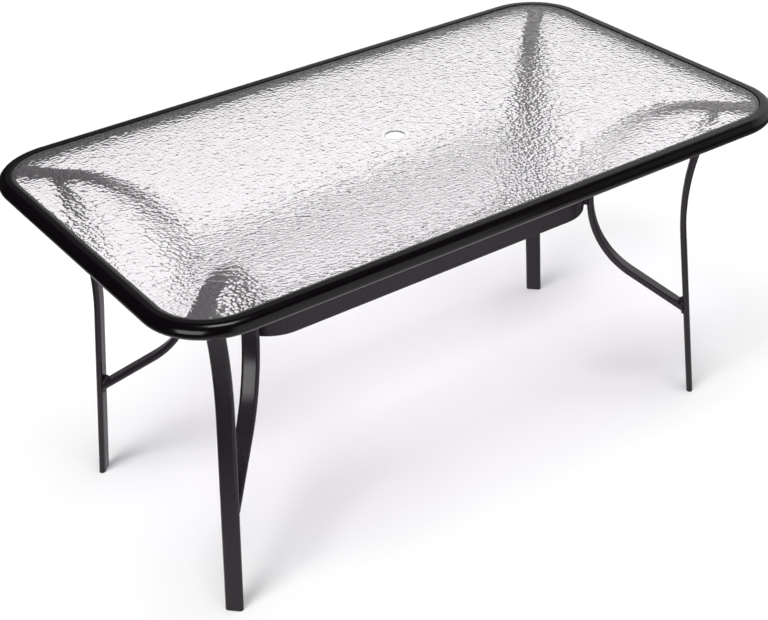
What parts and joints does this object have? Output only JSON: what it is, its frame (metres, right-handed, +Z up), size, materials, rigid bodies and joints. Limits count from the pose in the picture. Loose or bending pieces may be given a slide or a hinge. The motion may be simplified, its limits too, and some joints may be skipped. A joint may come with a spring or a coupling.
{
  "type": "glass garden table",
  "caption": "Oblong garden table: patterned glass in a black half-round rim, bowed tube arms braced to splayed legs, sheet aprons between the arms and a parasol hole.",
  "frame": {"origin": "on the floor under the middle of the top", "axes": "+X along the long side, +Y towards the rear long side, +Z up"},
  "size_m": [1.4, 0.8, 0.705],
  "materials": {
    "rim_enamel": "gloss",
    "tube_enamel": "satin",
    "sheet_enamel": "satin",
    "patterned_glass": "rolled ripple pattern",
    "black_pvc": "extruded",
    "black_plastic": "moulded",
    "zinc_steel": "zinc plated"
  },
  "bodies": {
    "root": {"apron_bracket_front_left": "sheet_enamel", "apron_bracket_front_right": "sheet_enamel", "apron_bracket_rear_left": "sheet_enamel", "apron_bracket_rear_right": "sheet_enamel", "apron_front": "sheet_enamel", "apron_rear": "sheet_enamel", "apron_screw_lower_front_left": "zinc_steel", "apron_screw_lower_front_right": "zinc_steel", "apron_screw_lower_rear_left": "zinc_steel", "apron_screw_lower_rear_right": "zinc_steel", "apron_screw_upper_front_left": "zinc_steel", "apron_screw_upper_front_right": "zinc_steel", "apron_screw_upper_rear_left": "zinc_steel", "apron_screw_upper_rear_right": "zinc_steel", "apron_washer_lower_front_left": "zinc_steel", "apron_washer_lower_front_right": "zinc_steel", "apron_washer_lower_rear_left": "zinc_steel", "apron_washer_lower_rear_right": "zinc_steel", "apron_washer_upper_front_left": "zinc_steel", "apron_washer_upper_front_right": "zinc_steel", "apron_washer_upper_rear_left": "zinc_steel", "apron_washer_upper_rear_right": "zinc_steel", "arm_front_left": "tube_enamel", "arm_front_right": "tube_enamel", "arm_rear_left": "tube_enamel", "arm_rear_right": "tube_enamel", "foot_cap_front_left": "black_plastic", "foot_cap_front_right": "black_plastic", "foot_cap_rear_left": "black_plastic", "foot_cap_rear_right": "black_plastic", "glass_strip": "black_pvc", "glass_top": "patterned_glass", "leg_front_left": "tube_enamel", "leg_front_right": "tube_enamel", "leg_rear_left": "tube_enamel", "leg_rear_right": "tube_enamel", "rim_frame": "rim_enamel", "rim_screw_front_left": "zinc_steel", "rim_screw_front_right": "zinc_steel", "rim_screw_rear_left": "zinc_steel", "rim_screw_rear_right": "zinc_steel", "rim_shelf_front_left": "sheet_enamel", "rim_shelf_front_right": "sheet_enamel", "rim_shelf_rear_left": "sheet_enamel", "rim_shelf_rear_right": "sheet_enamel", "rim_washer_front_left": "zinc_steel", "rim_washer_front_right": "zinc_steel", "rim_washer_rear_left": "zinc_steel", "rim_washer_rear_right": "zinc_steel"}
  },
  "joints": []
}
